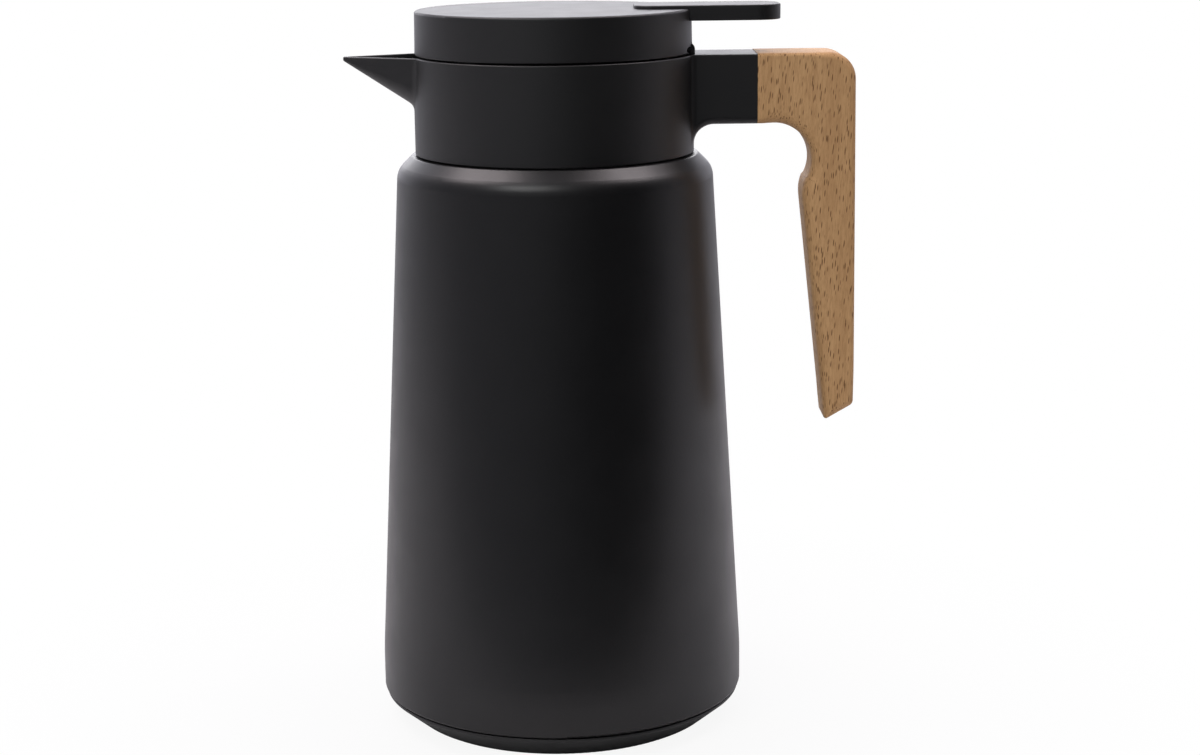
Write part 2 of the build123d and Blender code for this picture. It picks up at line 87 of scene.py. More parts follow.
class Body(Enum):
    """Rigid bodies of the carafe."""

    FLASK = "flask"
    TOP = "top"
    LID = "lid"


# ------------------------------------------------------------------ node helpers


@dataclass(frozen=True)
class Relief:
    """Bump of a finish: strength, and the height in metres that a value of 1 stands for."""

    strength: float
    height: float


@dataclass
class NodeTree:
    """Nodes of a material or of the world, with short calls for the ones used here."""

    owner: bpy.types.Material | bpy.types.World

    @classmethod
    def of(cls, owner: bpy.types.Material | bpy.types.World) -> "NodeTree":
        """Clear an owner's nodes to start anew.

        Args:
            owner: The material or world.

        Returns:
            Its empty tree.
        """
        owner.use_nodes = True
        owner.node_tree.nodes.clear()
        return cls(owner)

    @classmethod
    def new(cls, name: str) -> "NodeTree":
        """Start an empty node material.

        Args:
            name: Name of the material.

        Returns:
            Its empty tree.
        """
        return cls.of(bpy.data.materials.new(name))

    def add(self, kind: str, **settings: object) -> bpy.types.Node:
        """Add a node and set its properties.

        Args:
            kind: Blender's node type name.
            **settings: Attributes to set on the node.

        Returns:
            The new node.
        """
        node = self.owner.node_tree.nodes.new(kind)
        for name, value in settings.items():
            setattr(node, name, value)
        return node

    def link(self, source: Socket, target: Socket) -> None:
        """Join an output to an input."""
        self.owner.node_tree.links.new(source, target)

    def place(self, scale: Triple = (1, 1, 1), lean: float = 0.0) -> Socket:
        """Object coordinates, leant about Y and then stretched.

        Args:
            scale: Scale along each axis.
            lean: Rotation about Y before the stretch, in radians.

        Returns:
            The vector output of the mapping.
        """
        vector = self.add("ShaderNodeTexCoord").outputs["Object"]
        for stretch, rotation in (((1, 1, 1), (0, lean, 0)), (scale, (0, 0, 0))):
            mapping = self.add("ShaderNodeMapping")
            mapping.inputs["Scale"].default_value = stretch
            mapping.inputs["Rotation"].default_value = rotation
            self.link(vector, mapping.inputs["Vector"])
            vector = mapping.outputs["Vector"]
        return vector

    def round_axis(self) -> Socket:
        """Coordinates of radius and height only, on which noise makes rings round the axis.

        Returns:
            A vector of the distance from the Z axis, zero and the height.
        """
        here = self.add("ShaderNodeTexCoord").outputs["Object"]
        flat = self.add("ShaderNodeVectorMath", operation="MULTIPLY")
        flat.inputs[1].default_value = (1, 1, 0)
        radius = self.add("ShaderNodeVectorMath", operation="LENGTH")
        height = self.add("ShaderNodeSeparateXYZ")
        joined = self.add("ShaderNodeCombineXYZ")
        self.link(here, flat.inputs[0])
        self.link(flat.outputs["Vector"], radius.inputs[0])
        self.link(here, height.inputs["Vector"])
        self.link(radius.outputs["Value"], joined.inputs["X"])
        self.link(height.outputs["Z"], joined.inputs["Z"])
        return joined.outputs["Vector"]

    def noise(
        self, vector: Socket, scale: float, detail: float = 2.0, roughness: float = 0.5
    ) -> Socket:
        """Noise value at a scale in cells per metre.

        Args:
            vector: Coordinates to read.
            scale: Cells per metre.
            detail: Octaves.
            roughness: Share of the fine octaves.

        Returns:
            The value output, about 0 to 1.
        """
        noise = self.add("ShaderNodeTexNoise")
        noise.inputs["Scale"].default_value = scale
        noise.inputs["Detail"].default_value = detail
        noise.inputs["Roughness"].default_value = roughness
        self.link(vector, noise.inputs["Vector"])
        return noise.outputs["Fac"]

    def cells(self, vector: Socket, scale: float, randomness: float = 1.0) -> bpy.types.Node:
        """Cells round scattered centres.

        Args:
            vector: Coordinates to read.
            scale: Cells per unit of the coordinates.
            randomness: How far the centres stray from a grid.

        Returns:
            The node, with the distance to the nearest centre and a random colour per cell.
        """
        cells = self.add("ShaderNodeTexVoronoi", feature="F1")
        cells.inputs["Scale"].default_value = scale
        cells.inputs["Randomness"].default_value = randomness
        self.link(vector, cells.inputs["Vector"])
        return cells

    def calculate(self, operation: str, *values: Socket | float) -> Socket:
        """Result of a sum.

        Args:
            operation: Blender's name of the operation.
            *values: Its inputs in order, sockets or numbers.

        Returns:
            The result.
        """
        node = self.add("ShaderNodeMath", operation=operation)
        for value, target in zip(values, node.inputs):
            if isinstance(value, float):
                target.default_value = value
            else:
                self.link(value, target)
        return node.outputs[0]

    def ramp(
        self, value: Socket, stops: list[tuple[float, Colour]], interpolation: str = "LINEAR"
    ) -> Socket:
        """Colour ramp over a value.

        Args:
            value: What to read.
            stops: Pairs of position and linear colour.
            interpolation: How the colours run between the stops.

        Returns:
            The colour output.
        """
        ramp = self.add("ShaderNodeValToRGB")
        ramp.color_ramp.interpolation = interpolation
        elements = ramp.color_ramp.elements
        while len(elements) < len(stops):
            elements.new(0.5)
        for element, (position, colour) in zip(elements, stops):
            element.position = position
            element.color = (*colour, 1.0)
        self.link(value, ramp.inputs["Fac"])
        return ramp.outputs["Color"]

    def mottled(self, value: Socket, low: Colour, high: Colour, over: Span = MOTTLE) -> Socket:
        """Colour that runs from one to another over a span of a value.

        Args:
            value: What to read.
            low: Linear colour up to the start of the span.
            high: Linear colour from its end.
            over: The span.

        Returns:
            The colour output.
        """
        return self.ramp(value, [(over[0], low), (over[1], high)])

    def map_range(self, value: Socket, source: Span, target: Span) -> Socket:
        """Remap a value, clamped.

        Args:
            value: What to read.
            source: Input range.
            target: Output range.

        Returns:
            The remapped value.
        """
        node = self.add("ShaderNodeMapRange", clamp=True)
        node.inputs["From Min"].default_value = source[0]
        node.inputs["From Max"].default_value = source[1]
        node.inputs["To Min"].default_value = target[0]
        node.inputs["To Max"].default_value = target[1]
        self.link(value, node.inputs["Value"])
        return node.outputs["Result"]

    def mix(self, share: Socket, first: Socket, second: Colour) -> Socket:
        """Mix a colour into another.

        Args:
            share: How much of the second colour.
            first: First colour socket.
            second: Second colour, linear.

        Returns:
            The mixed colour.
        """
        node = self.add("ShaderNodeMix", data_type="RGBA")
        # The node also has hidden sockets for numbers and vectors, with the same names.
        factor, first_in, second_in = node.inputs[0], node.inputs[6], node.inputs[7]
        self.link(share, factor)
        self.link(first, first_in)
        second_in.default_value = (*second, 1.0)
        return node.outputs[2]

    def bump(self, height: Socket, relief: Relief, below: Socket | None = None) -> Socket:
        """Bump normal from a height.

        Args:
            height: Height value.
            relief: How strong the bump is.
            below: Normal of a coarser bump, if there is one.

        Returns:
            The normal output.
        """
        node = self.add("ShaderNodeBump")
        node.inputs["Strength"].default_value = relief.strength
        node.inputs["Distance"].default_value = relief.height
        self.link(height, node.inputs["Height"])
        if below is not None:
            self.link(below, node.inputs["Normal"])
        return node.outputs["Normal"]

    def either(self, share: Socket, first: Socket, second: Socket) -> Socket:
        """Shader that goes over from one to another.

        Args:
            share: How much of the second shader.
            first: Shader at a share of 0.
            second: Shader at a share of 1.

        Returns:
            The blended shader.
        """
        blend = self.add("ShaderNodeMixShader")
        for source, target in zip((share, first, second), blend.inputs):
            self.link(source, target)
        return blend.outputs[0]

    def close(self, shader: Socket) -> None:
        """Link a shader to a new output node of the owner's kind."""
        world = isinstance(self.owner, bpy.types.World)
        output = self.add("ShaderNodeOutputWorld" if world else "ShaderNodeOutputMaterial")
        self.link(shader, output.inputs["Surface"])

    def surface(
        self,
        colour: Socket | None,
        roughness: Socket | None,
        normal: Socket | None,
        **constants: float | Colour,
    ) -> bpy.types.Material:
        """Close the material with a Principled surface.

        Args:
            colour: Base colour socket.
            roughness: Roughness socket.
            normal: Normal socket.
            **constants: Input values by name, with underscores for spaces.

        Returns:
            The finished material.
        """
        shader = self.add("ShaderNodeBsdfPrincipled")
        for name, value in constants.items():
            socket = shader.inputs[name.replace("_", " ")]
            socket.default_value = (*value, 1.0) if isinstance(value, tuple) else value
        for source, name in ((colour, "Base Color"), (roughness, "Roughness"), (normal, "Normal")):
            if source is not None:
                self.link(source, shader.inputs[name])
        self.close(shader.outputs["BSDF"])
        return self.owner


# ------------------------------------------------------------------ finishes


@dataclass(frozen=True)
class PowderCoat:
    """Black powder coat: satin, with a fine orange-peel grain."""

    name: str = "powder_coat"
    deep: Colour = (0.0034, 0.0034, 0.0037)
    pale: Colour = (0.0048, 0.0048, 0.0052)
    rough: Span = (0.36, 0.41)
    gloss: float = 0.5
    grain: float = 1300.0
    waves: float = 60.0
    relief: Relief = Relief(0.12, 0.12 * MM)

    def material(self) -> bpy.types.Material:
        """Build the material.

        Returns:
            The coated-metal material.
        """
        tree = NodeTree.new(self.name)
        here = tree.place()
        fine = tree.noise(here, self.grain, detail=1.0)
        colour = tree.mottled(fine, self.deep, self.pale)
        rough = tree.map_range(tree.noise(here, self.waves), SWING, self.rough)
        normal = tree.bump(fine, self.relief)
        return tree.surface(colour, rough, normal, Specular_IOR_Level=self.gloss)


@dataclass(frozen=True)
class Moulding:
    """Black plastic with a spark-eroded texture."""

    name: str = "black_moulding"
    deep: Colour = (0.0030, 0.0030, 0.0031)
    pale: Colour = (0.0046, 0.0046, 0.0048)
    rough: Span = (0.48, 0.51)
    gloss: float = 0.64
    grain: float = 2100.0
    crispness: float = 0.6
    waves: float = 90.0
    relief: Relief = Relief(0.2, 0.15 * MM)

    def material(self) -> bpy.types.Material:
        """Build the material.

        Returns:
            The plastic material.
        """
        tree = NodeTree.new(self.name)
        here = tree.place()
        fine = tree.noise(here, self.grain, roughness=self.crispness)
        colour = tree.mottled(fine, self.deep, self.pale)
        rough = tree.map_range(tree.noise(here, self.waves), SWING, self.rough)
        normal = tree.bump(fine, self.relief)
        return tree.surface(colour, rough, normal, Specular_IOR_Level=self.gloss)


@dataclass(frozen=True)
class Steel:
    """Bare stainless steel, spun, with fine rings round the axis."""

    name: str = "bare_steel"
    dull: Colour = (0.48, 0.48, 0.49)
    bright: Colour = (0.60, 0.60, 0.61)
    rough: Span = (0.22, 0.36)
    ring_pitch: float = 1900.0
    relief: Relief = Relief(0.1, 0.04 * MM)

    def material(self) -> bpy.types.Material:
        """Build the material.

        Returns:
            The steel material.
        """
        tree = NodeTree.new(self.name)
        rings = tree.noise(tree.round_axis(), self.ring_pitch, detail=3.0)
        colour = tree.mottled(rings, self.dull, self.bright, over=SWING)
        rough = tree.map_range(rings, SWING, self.rough)
        normal = tree.bump(rings, self.relief)
        return tree.surface(colour, rough, normal, Metallic=1.0)


@dataclass(frozen=True)
class Silicone:
    """Dark silicone, matte with a dusty bloom."""

    name: str = "silicone"
    clean: Colour = (0.020, 0.020, 0.022)
    dusty: Colour = (0.030, 0.030, 0.031)
    rough: Span = (0.62, 0.78)
    gloss: float = 0.4
    bloom: float = 140.0
    grain: float = 1600.0
    relief: Relief = Relief(0.1, 0.1 * MM)

    def material(self) -> bpy.types.Material:
        """Build the material.

        Returns:
            The silicone material.
        """
        tree = NodeTree.new(self.name)
        here = tree.place()
        bloom = tree.noise(here, self.bloom, detail=4.0)
        colour = tree.mottled(bloom, self.clean, self.dusty)
        rough = tree.map_range(bloom, SWING, self.rough)
        grain = tree.noise(here, self.grain, detail=1.0)
        normal = tree.bump(grain, self.relief)
        return tree.surface(colour, rough, normal, Specular_IOR_Level=self.gloss)


@dataclass(frozen=True)
class Brass:
    """Turned brass, a little tarnished."""

    name: str = "brass"
    tarnished: Colour = (0.46, 0.31, 0.13)
    bright: Colour = (0.72, 0.50, 0.20)
    colour_span: Span = (0.30, 0.65)
    rough: Span = (0.28, 0.42)
    turning: Triple = (2500.0, 50.0, 50.0)

    def material(self) -> bpy.types.Material:
        """Build the material.

        Returns:
            The brass material.
        """
        tree = NodeTree.new(self.name)
        turned = tree.noise(tree.place(scale=self.turning), 1.0)
        colour = tree.mottled(turned, self.tarnished, self.bright, over=self.colour_span)
        rough = tree.map_range(turned, SWING, self.rough)
        return tree.surface(colour, rough, None, Metallic=1.0)


@dataclass(frozen=True)
class Foam:
    """Rigid white foam with fine cells, with painted shade in each cell's hollow."""

    name: str = "foam"
    # Colour at the bottom of each cell's hollow, where the bump is lowest: painted shade.
    shade: Colour = (0.66, 0.62, 0.52)
    light: Colour = (0.80, 0.77, 0.68)
    colour_span: Span = (0.2, 0.6)
    roughness: float = 0.9
    cells: float = 900.0
    relief: Relief = Relief(0.4, 0.4 * MM)

    def material(self) -> bpy.types.Material:
        """Build the material.

        Returns:
            The foam material.
        """
        tree = NodeTree.new(self.name)
        depth = tree.cells(tree.place(), self.cells).outputs["Distance"]
        # Darker towards each cell's centre, where the bump sinks: painted shade in the hollows.
        colour = tree.mottled(depth, self.shade, self.light, over=self.colour_span)
        normal = tree.bump(depth, self.relief)
        return tree.surface(colour, None, normal, Roughness=self.roughness)


@dataclass(frozen=True)
class Grain:
    """Noise drawn out along the wood: cells per metre, lean in radians, octaves."""

    cells: Triple
    lean: float
    detail: float

    def noise(self, tree: NodeTree) -> Socket:
        """Add the noise.

        Args:
            tree: Material to add the nodes to.

        Returns:
            Its value.
        """
        return tree.noise(tree.place(scale=self.cells, lean=self.lean), 1.0, self.detail)


@dataclass(frozen=True)
class Beech:
    """Oiled steamed beech: grain along Z, short brown ray flecks, soft growth bands."""

    name: str = "beech"
    light: Colour = (0.540, 0.322, 0.151)
    dark: Colour = (0.480, 0.278, 0.127)
    fibre: Colour = (0.340, 0.182, 0.080)
    fleck: Colour = (0.125, 0.054, 0.021)
    bands: Grain = Grain((190.0, 110.0, 12.0), -0.03, 3.0)
    fibres: Grain = Grain((1700.0, 1700.0, 230.0), -0.05, 3.0)
    pores: Grain = Grain((3200.0, 3200.0, 420.0), 0.0, 1.0)
    band_span: Span = (0.32, 0.60)
    fibre_span: Span = (0.42, 0.66)
    fibre_share: float = 0.50
    pore_span: Span = (0.60, 0.72)
    pore_share: float = 0.35
    rough: Span = (0.52, 0.66)
    gloss: float = 0.16
    fibre_relief: Relief = Relief(0.15, 0.12 * MM)
    fleck_relief: Relief = Relief(-0.3, 0.1 * MM)
    fleck_cells: Triple = (1240.0, 1240.0, 185.0)
    fleck_lean: float = -0.07
    fleck_stray: float = 0.9
    fleck_edge: Span = (0.20, 0.32)
    fleck_gap: Span = (0.12, 0.16)  # cells with a random red below this hold no fleck
    fleck_strength: Span = (0.65, 1.0)

    def flecks(self, tree: NodeTree) -> Socket:
        """Scattered short streaks along the grain.

        Args:
            tree: Material to add the nodes to.

        Returns:
            A value near 1 on a fleck and 0 elsewhere.
        """
        here = tree.place(scale=self.fleck_cells, lean=self.fleck_lean)
        cells = tree.cells(here, 1.0, self.fleck_stray)
        core = tree.map_range(cells.outputs["Distance"], self.fleck_edge, (1.0, 0.0))
        chance = tree.add("ShaderNodeSeparateColor")
        tree.link(cells.outputs["Color"], chance.inputs["Color"])
        picked = tree.map_range(chance.outputs["Red"], self.fleck_gap, (0.0, 1.0))
        strength = tree.map_range(chance.outputs["Green"], (0.0, 1.0), self.fleck_strength)
        return tree.calculate("MULTIPLY", tree.calculate("MULTIPLY", core, picked), strength)

    def material(self) -> bpy.types.Material:
        """Build the material.

        Returns:
            The beech material.
        """
        tree = NodeTree.new(self.name)
        bands, fibres, pores = (
            grain.noise(tree) for grain in (self.bands, self.fibres, self.pores)
        )
        base = tree.mottled(bands, self.dark, self.light, over=self.band_span)
        streaks = tree.map_range(fibres, self.fibre_span, (0.0, self.fibre_share))
        specks = tree.map_range(pores, self.pore_span, (0.0, self.pore_share))
        fibred = tree.mix(specks, tree.mix(streaks, base, self.fibre), self.fibre)
        flecks = self.flecks(tree)
        colour = tree.mix(flecks, fibred, self.fleck)
        rough = tree.map_range(fibres, SWING, self.rough)
        coarse = tree.bump(fibres, self.fibre_relief)
        normal = tree.bump(flecks, self.fleck_relief, coarse)
        return tree.surface(colour, rough, normal, Specular_IOR_Level=self.gloss)


# ------------------------------------------------------------------ dressing


def dress(obj: bpy.types.Object, material: bpy.types.Material) -> None:
    """Give a piece one material and shade it smooth up to its crisp edges.

    Args:
        obj: The piece.
        material: Its only material.
    """
    obj.data.materials.clear()
    obj.data.materials.append(material)
    bpy.ops.object.select_all(action="DESELECT")
    bpy.context.view_layer.objects.active = obj
    obj.select_set(True)
    bpy.ops.object.shade_smooth_by_angle(angle=math.radians(SMOOTH_ANGLE))
    obj.select_set(False)


Shelf = dict[Slot, bpy.types.Material]
Nodes = dict[str, bpy.types.Object]


def dress_nodes(
    nodes: Nodes, shelf: Shelf, finishes: dict[Slot, tuple[str, ...]], body: Body
) -> None:
    """Give CAD nodes their finishes.

    Args:
        nodes: CAD nodes by name.
        shelf: One finished material per slot.
        finishes: Names of nodes by slot.
        body: Body that the nodes are part of.
    """
    for slot, names in finishes.items():
        for name in names:
            dress(nodes[name], shelf[slot])
            LOG.info("%s: %s in %s", body.value, name, slot.value)


def hand_over(piece: bpy.types.Object, name: str, body: Body, slot: Slot, shelf: Shelf) -> None:
    """Name a new piece, dress it and fix it to its body.

    Args:
        piece: The modelled piece.
        name: Its name.
        body: Body that it rides on.
        slot: Material slot that it takes.
        shelf: One finished material per slot.
    """
    piece.name = name
    piece.data.name = name
    dress(piece, shelf[slot])
    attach(piece, body.value)
    LOG.info("%s: %s modelled, %d faces", body.value, name, len(piece.data.polygons))


# ------------------------------------------------------------------ modelling by hand


def pick(
    piece: bpy.types.Object, wanted: Callable[[Vector], bool], kind: Pick = Pick.POINTS
) -> None:
    """Select points or faces of the mesh in edit mode by their place.

    Args:
        piece: The piece in edit mode.
        wanted: Test of a place, a face's being its middle.
        kind: What to select.
    """
    bpy.ops.mesh.select_mode(type=kind.value)
    bpy.ops.mesh.select_all(action="DESELECT")
    mesh = bmesh.from_edit_mesh(piece.data)
    if kind is Pick.POINTS:
        for point in mesh.verts:
            point.select_set(wanted(point.co))
    else:
        for face in mesh.faces:
            face.select_set(wanted(face.calc_center_median()))
    mesh.select_flush_mode()
    bmesh.update_edit_mesh(piece.data)


@dataclass(frozen=True)
class ScrewThread:
    """Ribs of a screw thread: tapered strips wound round the axis and run out at their ends."""

    root_r: float
    crest_r: float
    foot_z: float
    sunk: float = 0.12 * MM
    root_width: float = 1.7 * MM
    crest_width: float = 0.8 * MM
    lead: float = 7.0 * MM
    turns: float = 0.82
    starts: int = 2
    steps: int = 96
    run_out: tuple[float, ...] = (0.06, 0.35, 0.65, 0.88)  # size of the first and last sections
    slack: float = 0.05 * MM  # how far a section's corners may lie from its plane

    @property
    def base_r(self) -> float:
        """Radius of the rib's base, a little inside the wall that carries it."""
        return self.root_r - math.copysign(self.sunk, self.crest_r - self.root_r)

    def profile(self) -> bpy.types.Object:
        """Outline of one rib's section, at the start of its turn.

        Returns:
            The outline as an object of four edges.
        """
        middle = ((self.base_r + self.crest_r) / 2, 0, self.foot_z)
        bpy.ops.mesh.primitive_plane_add(size=1, location=middle)
        section = bpy.context.object
        section.rotation_euler = (math.pi / 2, 0, 0)
        section.scale = (abs(self.crest_r - self.base_r), self.root_width, 1)
        bpy.ops.object.transform_apply(location=True, rotation=True, scale=True)
        bpy.ops.object.mode_set(mode="EDIT")
        pick(section, lambda place: abs(place.x - self.crest_r) < NEAR)
        bpy.ops.transform.resize(
            value=(1, 1, self.crest_width / self.root_width),
            center_override=(self.crest_r, 0, self.foot_z),
        )
        bpy.ops.mesh.select_all(action="SELECT")
        bpy.ops.mesh.delete(type="ONLY_FACE")
        bpy.ops.object.mode_set(mode="OBJECT")
        return section

    def rib(self) -> bpy.types.Object:
        """Wind the section round the axis, run its ends out and close them.

        Returns:
            One closed rib.
        """
        rib = self.profile()
        winding = rib.modifiers.new("winding", "SCREW")
        winding.axis = "Z"
        winding.angle = self.turns * math.tau
        winding.screw_offset = self.lead * self.turns
        winding.steps = winding.render_steps = self.steps
        winding.use_merge_vertices = False
        bpy.ops.object.modifier_apply(modifier=winding.name)
        bpy.ops.object.mode_set(mode="EDIT")
        for index, share in enumerate(self.run_out):
            for step in (index, self.steps - index):
                self.shrink_section(rib, step, share)
        bpy.ops.mesh.select_all(action="SELECT")
        bpy.ops.mesh.fill_holes(sides=4)
        bpy.ops.mesh.normals_make_consistent(inside=False)
        bpy.ops.object.mode_set(mode="OBJECT")
        return rib

    def shrink_section(self, rib: bpy.types.Object, step: int, share: float) -> None:
        """Draw one section of the rib in towards its root.

        Args:
            rib: The rib in edit mode.
            step: Number of the section along the rib.
            share: Size that is left of it.
        """
        turn = step / self.steps * self.turns * math.tau
        along = Vector((-math.sin(turn), math.cos(turn), 0))
        outward = Vector((math.cos(turn), math.sin(turn), 0))
        rise = self.foot_z + self.lead * turn / math.tau
        pick(
            rib,
            lambda place: abs(place.dot(along)) < self.slack
            and place.dot(outward) > 0
            and abs(place.z - rise) < self.root_width,
        )
        base = outward * self.base_r
        bpy.ops.transform.resize(value=(share,) * 3, center_override=(base.x, base.y, rise))

    def build(self) -> bpy.types.Object:
        """Model one rib and copy it for the other starts.

        Returns:
            All ribs as one piece.
        """
        ribs = [self.rib()]
        for start in range(1, self.starts):
            bpy.ops.object.select_all(action="DESELECT")
            ribs[0].select_set(True)
            bpy.context.view_layer.objects.active = ribs[0]
            bpy.ops.object.duplicate()
            copy = bpy.context.object
            bpy.ops.object.mode_set(mode="EDIT")
            bpy.ops.mesh.select_all(action="SELECT")
            bpy.ops.transform.rotate(
                value=start * math.tau / self.starts, orient_axis="Z", center_override=(0, 0, 0)
            )
            bpy.ops.object.mode_set(mode="OBJECT")
            ribs.append(copy)
        bpy.ops.object.select_all(action="DESELECT")
        for rib in ribs:
            rib.select_set(True)
        bpy.context.view_layer.objects.active = ribs[0]
        bpy.ops.object.join()
        return bpy.context.object


@dataclass(frozen=True)
class RimPoint:
    """Point on the grip's side outline, with the way in to the wood and the edge's rounding.

    A point by a sharp corner also has that corner, its bisector, how deep the point's own way
    in is followed, and the sine of half the corner's angle.
    """

    place: Vector
    inward: Vector
    edge: float
    corner: Vector | None = None
    bisector: Vector | None = None
    radius: float = 1.0
    sine: float = 1.0

    def at(self, depth: float) -> Vector:
        """Place at a depth inside the outline.

        Args:
            depth: Distance from the outline.

        Returns:
            The place; past the centre of a sharp corner's arc it lies on the corner's bisector.
        """
        if self.corner is not None and depth > self.radius:
            return self.corner + self.bisector * (depth / self.sine)
        return self.place + self.inward * depth


@dataclass(frozen=True)
class Grip:
    """Beech grip: hollow for the first finger, palm swell, edges rounder where the hand closes."""

    joint_x: float = 81.2 * MM
    top_z: float = 274.6 * MM
    back_x: float = 121.3 * MM
    lean: float = 0.7 * MM
    heel_z: float = 130.4 * MM
    tip: Span = (109.3 * MM, 123.5 * MM)
    finger_centre: Span = (88.0 * MM, 231.3 * MM)
    finger_r: float = 15.2 * MM
    swell_centre: Span = (116.8 * MM, 217.5 * MM)
    swell_r: float = 17.2 * MM
    corner_r: float = 10.7 * MM
    tip_r: float = 1.1 * MM
    heel_r: float = 2.6 * MM
    half_width: float = 13.25 * MM
    joint_edge: float = 3.2 * MM
    hollow_edge: float = 6.2 * MM
    slope_edge: float = 6.0 * MM
    end_edge: float = 5.0 * MM
    back_edge: float = 2.8 * MM
    top_edge: float = 1.4 * MM
    blend: float = 7.0 * MM  # length over which one rounding flows into the next
    least_blend: float = 0.2 * MM  # the same at the joint with the arm
    arc_step: float = 5.0  # degrees
    line_step: float = 3.0 * MM
    edge_steps: int = 9
    face_margin: float = 0.4 * MM  # flat ring between the rounding and the side face
    tenon_length: float = 18.9 * MM
    tenon_margin: float = 3.45 * MM
    merge: float = 0.002 * MM

    def arc(
        self, centre: Vector, radius: float, start: float, end: float, edge: float, hollow: bool
    ) -> list[RimPoint]:
        """Points along an arc.

        Args:
            centre: Centre of the arc.
            radius: Its radius.
            start: First angle in degrees.
            end: Last angle in degrees.
            edge: Rounding of the edges beside it.
            hollow: True if the wood is outside the arc.

        Returns:
            The points, both ends included.
        """
        count = max(2, math.ceil(abs(end - start) / self.arc_step))
        points = []
        for index in range(count + 1):
            angle = math.radians(start + (end - start) * index / count)
            out = Vector((math.cos(angle), math.sin(angle)))
            points.append(RimPoint(centre + out * radius, out if hollow else -out, edge))
        return points

    def line(self, start: Vector, end: Vector, edge: float) -> list[RimPoint]:
        """Points between the ends of a straight stretch, with the wood on its left.

        Args:
            start: First end.
            end: Last end.
            edge: Rounding of the edges beside it.

        Returns:
            The points, without the ends.
        """
        run = end - start
        count = max(1, math.ceil(run.length / self.line_step))
        inward = Vector((-run.y, run.x)).normalized()
        return [RimPoint(start + run * (index / count), inward, edge) for index in range(1, count)]

    def rounded(
        self, before: Vector, corner: Vector, after: Vector, radius: float, edge: float
    ) -> list[RimPoint]:
        """Rounded convex corner between two straight stretches.

        Args:
            before: A point on the stretch that comes in.
            corner: Where the stretches would meet.
            after: A point on the stretch that leaves.
            radius: Rounding of the corner in side view.
            edge: Rounding of the edges beside it.

        Returns:
            The points of the corner's arc.
        """
        back, on = (before - corner).normalized(), (after - corner).normalized()
        bisector = (back + on).normalized()
        half = math.acos(max(-1.0, min(1.0, back.dot(on)))) / 2
        centre = corner + bisector * (radius / math.sin(half))
        first = corner + back * (radius / math.tan(half)) - centre
        last = corner + on * (radius / math.tan(half)) - centre
        start = math.degrees(math.atan2(first.y, first.x))
        sweep = math.degrees(math.atan2(first.x * last.y - first.y * last.x, first.dot(last)))
        return [
            RimPoint(point.place, point.inward, edge, corner, bisector, radius, math.sin(half))
            for point in self.arc(centre, radius, start, start + sweep, edge, False)
        ]

    def outline(self) -> list[RimPoint]:
        """Side view of the grip in (x, z), from the arm's underside round to its top.

        Returns:
            The outline's points, with edge roundings that flow into each other.
        """
        finger, swell, tip = Vector(self.finger_centre), Vector(self.swell_centre), Vector(self.tip)
        across = math.degrees(math.atan2(swell.y - finger.y, swell.x - finger.x))
        reach = tip - swell
        touch_angle = math.degrees(
            math.atan2(reach.y, reach.x) - math.pi / 2 + math.asin(self.swell_r / reach.length)
        ) % 360
        hollow = self.arc(finger, self.finger_r, 90, across, self.hollow_edge, True)
        palm = self.arc(swell, self.swell_r, across + 180, touch_angle, self.slope_edge, False)
        touch, under = palm[-1].place, hollow[0].place
        heel = Vector((self.back_x, self.heel_z))
        corner = Vector((self.back_x - self.lean, self.top_z))
        start, end = Vector((self.joint_x, under.y)), Vector((self.joint_x, self.top_z))
        at_tip = self.rounded(touch, tip, heel, self.tip_r, self.end_edge)
        at_heel = self.rounded(tip, heel, corner, self.heel_r, self.end_edge)
        at_corner = self.rounded(heel, corner, end, self.corner_r, self.back_edge)
        points = [RimPoint(start, Vector((0, 1)), self.joint_edge)]
        points += self.line(start, under, self.joint_edge) + hollow + palm[1:]
        points += self.line(touch, at_tip[0].place, self.slope_edge) + at_tip
        points += self.line(at_tip[-1].place, at_heel[0].place, self.end_edge) + at_heel
        points += self.line(at_heel[-1].place, at_corner[0].place, self.back_edge) + at_corner
        points += self.line(at_corner[-1].place, end, self.top_edge)
        points.append(RimPoint(end, Vector((0, -1)), self.top_edge))
        return self.flowing(points)

    def flowing(self, points: list[RimPoint]) -> list[RimPoint]:
        """Let the edge roundings run smoothly from one stretch to the next.

        Args:
            points: The outline with a rounding per stretch.

        Returns:
            The outline with roundings averaged along it, but exact at the joint with the arm.
        """
        along = [0.0]
        for first, second in zip(points, points[1:]):
            along.append(along[-1] + (second.place - first.place).length)
        smoothed = []
        for here, point in zip(along, points):
            reach = max(self.least_blend, min(self.blend, here, along[-1] - here))
            weights = [math.exp(-(((there - here) / reach) ** 2)) for there in along]
            edge = sum(w * other.edge for w, other in zip(weights, points)) / sum(weights)
            smoothed.append(replace(point, edge=edge))
        return [self.mitred(point, points) for point in smoothed]

    def mitred(self, point: RimPoint, points: list[RimPoint]) -> RimPoint:
        """Keep a point's way in from crossing the bisector of the tip or the heel.

        Args:
            point: Point of the outline.
            points: The whole outline.

        Returns:
            The point; near the two sharp corners with the rounding and the bisector of the corner.
        """
        for corner in points:
            if corner.corner is None or corner.radius > self.heel_r:
                continue
            tangent = corner.sine / math.sqrt(1 - corner.sine**2)
            limit = (point.place - corner.corner).length * tangent
            if point.corner is None and limit < self.end_edge + self.face_margin:
                return replace(
                    point, edge=self.end_edge, corner=corner.corner, bisector=corner.bisector,
                    radius=limit, sine=corner.sine,
                )
        if point.corner is not None and point.radius <= self.heel_r:
            return replace(point, edge=self.end_edge)
        return point

